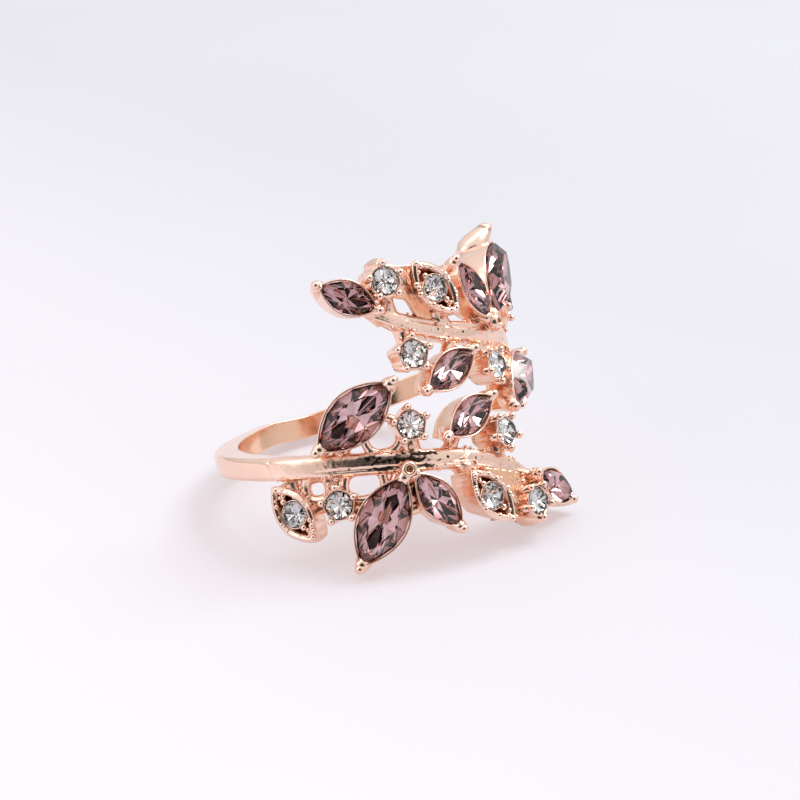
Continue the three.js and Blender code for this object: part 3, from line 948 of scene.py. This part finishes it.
def floor():
    """A pale floor with a faint painted glow, stronger on the left, that keeps the ring's shadows light and pink."""
    mesh = bpy.data.meshes.new("floor")
    far = FLOOR_EDGE
    mesh.from_pydata([(-far, -far, 0), (far, -far, 0), (far, far, 0), (-far, far, 0)], [], [(0, 1, 2, 3)])
    material, tree, shader = new_material("pale_floor")
    place = linked(tree, "ShaderNodeTexCoord").outputs["Object"]
    tone = cloud(tree, place, 25.0, 3.0)
    colour = ramp(tree, tone, [(0.35, (0.226, 0.283, 0.323)), (0.65, (0.234, 0.293, 0.334))])
    tree.links.new(colour.outputs["Color"], shader.inputs["Base Color"])
    shader.inputs["Roughness"].default_value = 0.65
    across = linked(tree, "ShaderNodeSeparateXYZ", {"Vector": place}).outputs["X"]
    fade = linked(tree, "ShaderNodeMapRange", {"Value": across, "From Min": -0.04, "From Max": 0.04})
    # Painted light: the floor glows pinker than its own bluish colour, so its shadows take a painted pink reflection
    # of the ring.
    glow = ramp(tree, fade.outputs["Result"], [(0.0, (1.21, 0.98, 0.985)), (1.0, (0.806, 0.640, 0.65))])
    tree.links.new(glow.outputs["Color"], shader.inputs["Emission Color"])
    shader.inputs["Emission Strength"].default_value = 0.54
    mesh.materials.append(material)
    made = bpy.data.objects.new("floor", mesh)
    bpy.context.scene.collection.objects.link(made)


def softbox(name, location, size, power, colour):
    """A rectangular light that looks at the ring."""
    light = bpy.data.lights.new(name, "AREA")
    light.shape = "RECTANGLE"
    light.size, light.size_y = size
    light.energy = power
    light.color = colour
    made = bpy.data.objects.new(name, light)
    made.location = location
    made.rotation_euler = (Vector(LAMP_TARGET) - Vector(location)).to_track_quat("-Z", "Y").to_euler()
    bpy.context.scene.collection.objects.link(made)


def studio():
    """A pale room, bright above and dimmer at eye level. One side is dark, so that the metal has something to show."""
    world = bpy.data.worlds.new("studio")
    bpy.context.scene.world = world
    world.use_nodes = True
    tree = world.node_tree
    back = tree.nodes["Background"]
    way = linked(tree, "ShaderNodeTexCoord").outputs["Generated"]
    split = linked(tree, "ShaderNodeSeparateXYZ", {"Vector": way})
    height = linked(
        tree, "ShaderNodeMapRange", {"Value": split.outputs["Z"], "From Min": -1.0, "From Max": 1.0}
    ).outputs["Result"]
    sky = ramp(tree, height, [(0.0, grey(0.8)), (0.49, grey(0.62)), (0.58, grey(0.8)), (0.8, grey(1.0))])
    facing = linked(tree, "ShaderNodeVectorMath", operation="DOT_PRODUCT")
    tree.links.new(way, facing.inputs[0])
    facing.inputs[1].default_value = DARK_SIDE
    shade = ramp(tree, facing.outputs["Value"], [(0.815, grey(1.0)), (0.855, grey(0.05))])
    seen = blended(tree, 1.0, sky.outputs["Color"], shade.outputs["Color"], "MULTIPLY")
    tree.links.new(seen, back.inputs["Color"])
    back.inputs["Strength"].default_value = 0.95


def photographer():
    """The camera, at the photograph's viewing angle."""
    camera = bpy.data.cameras.new("camera")
    camera.sensor_width = 36
    camera.lens = CAMERA_LENS
    camera.clip_start, camera.clip_end = 0.01, 10
    eye = bpy.data.objects.new("camera", camera)
    eye.location = CAMERA_PLACE
    look = (Vector(CAMERA_TARGET) - eye.location).normalized()
    roll = Matrix.Rotation(CAMERA_ROLL, 4, look)
    eye.rotation_euler = (roll @ look.to_track_quat("-Z", "Y").to_matrix().to_4x4()).to_euler()
    bpy.context.scene.collection.objects.link(eye)
    bpy.context.scene.camera = eye


floor()
studio()
for lamp in LAMPS:
    softbox(*lamp)
photographer()
bpy.context.scene.view_settings.view_transform = "Standard"
bpy.context.scene.view_settings.exposure = 0.0
